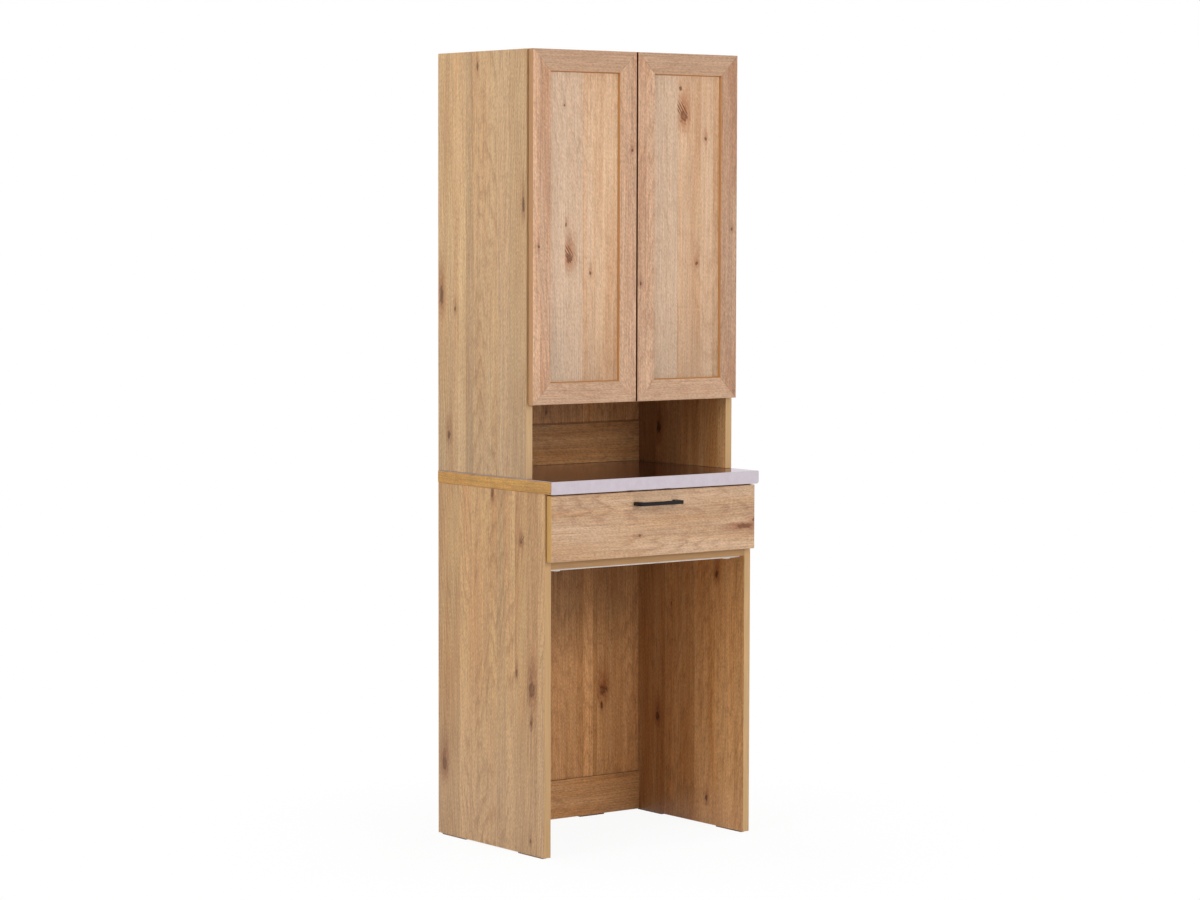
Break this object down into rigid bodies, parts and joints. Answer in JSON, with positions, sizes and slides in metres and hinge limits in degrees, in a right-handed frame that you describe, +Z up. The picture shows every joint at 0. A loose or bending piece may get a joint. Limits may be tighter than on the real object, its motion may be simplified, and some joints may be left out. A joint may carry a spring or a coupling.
{
  "type": "kitchen cupboard",
  "caption": "Tall kitchen cupboard with framed doors above an open niche, a steel-topped counter over a drawer, and an open bay below for bins.",
  "frame": {"origin": "centre of the overall box's bottom face, on the floor under the glides", "axes": "+Z up along the cupboard's height, -Y out of the doors and the drawer, X across the front with the left door at -X"},
  "size_m": [0.603, 0.4718, 1.83],
  "materials": {
    "carcass_oak": "oak-printed melamine, satin",
    "front_oak": "oak-printed foil, satin",
    "back_panel": "oak-printed hardboard",
    "drawer_white": "off-white melamine, satin",
    "counter_steel": "satin stainless sheet",
    "zinc_steel": "bright zinc plate",
    "white_steel": "white powder coat",
    "white_plastic": "moulded, matte",
    "grey_plastic": "moulded, matte",
    "black_metal": "matte black powder coat"
  },
  "bodies": {
    "cabinet": {"upper_side_left": "carcass_oak", "upper_side_right": "carcass_oak", "upper_top_board": "carcass_oak", "upper_bottom_board": "carcass_oak", "upper_back_rail": "carcass_oak", "upper_back_panel": "back_panel", "fixed_shelf": "carcass_oak", "adjustable_shelf": "carcass_oak", "shelf_pin_front_left": "zinc_steel", "shelf_pin_front_right": "zinc_steel", "shelf_pin_rear_left": "zinc_steel", "shelf_pin_rear_right": "zinc_steel", "hinge_arm_left_lower": "zinc_steel", "hinge_arm_left_upper": "zinc_steel", "hinge_arm_right_lower": "zinc_steel", "hinge_arm_right_upper": "zinc_steel", "joint_plate_left": "zinc_steel", "joint_plate_right": "zinc_steel", "counter_board": "carcass_oak", "counter_steel": "counter_steel", "lower_side_left": "carcass_oak", "lower_side_right": "carcass_oak", "lower_back_panel": "back_panel", "lower_back_rail": "carcass_oak", "lower_top_rail": "carcass_oak", "drawer_deck": "carcass_oak", "deck_stiffener": "white_steel", "stiffener_cap_left": "white_plastic", "stiffener_cap_right": "white_plastic", "glide_front_left": "grey_plastic", "glide_front_right": "grey_plastic", "glide_rear_left": "grey_plastic", "glide_rear_right": "grey_plastic", "glide_back_rail": "grey_plastic", "slide_outer_left": "zinc_steel", "slide_outer_right": "zinc_steel"},
    "left_door": {"left_door_outer_stile": "front_oak", "left_door_inner_stile": "front_oak", "left_door_top_rail": "front_oak", "left_door_bottom_rail": "front_oak", "left_door_panel": "front_oak", "hinge_cup_left_lower": "zinc_steel", "hinge_cup_left_upper": "zinc_steel"},
    "right_door": {"right_door_outer_stile": "front_oak", "right_door_inner_stile": "front_oak", "right_door_top_rail": "front_oak", "right_door_bottom_rail": "front_oak", "right_door_panel": "front_oak", "hinge_cup_right_lower": "zinc_steel", "hinge_cup_right_upper": "zinc_steel"},
    "drawer": {"drawer_front": "front_oak", "drawer_side_left": "drawer_white", "drawer_side_right": "drawer_white", "drawer_back": "drawer_white", "drawer_bottom": "drawer_white", "drawer_handle": "black_metal", "slide_inner_left": "zinc_steel", "slide_inner_right": "zinc_steel"},
    "slide_middles": {"slide_middle_left": "zinc_steel", "slide_middle_right": "zinc_steel"}
  },
  "joints": [
    {"name": "left_door_hinge", "type": "hinge", "parent": "cabinet", "child": "left_door", "pos_m": [-0.2885, -0.1284, 1.028], "axis": [0, 0, -1], "range_deg": [0, 95]},
    {"name": "right_door_hinge", "type": "hinge", "parent": "cabinet", "child": "right_door", "pos_m": [0.2885, -0.1284, 1.028], "axis": [0, 0, 1], "range_deg": [0, 95]},
    {"name": "drawer_slide", "type": "slide", "parent": "cabinet", "child": "drawer", "axis": [0, -1, 0], "range_m": [0, 0.34]},
    {"name": "slide_middles_travel", "type": "slide", "parent": "cabinet", "child": "slide_middles", "axis": [0, -1, 0], "range_m": [0, 0.17]}
  ],
  "couplings": [
    {"joint": "slide_middles_travel", "follows": "drawer_slide", "ratio": 0.5}
  ]
}
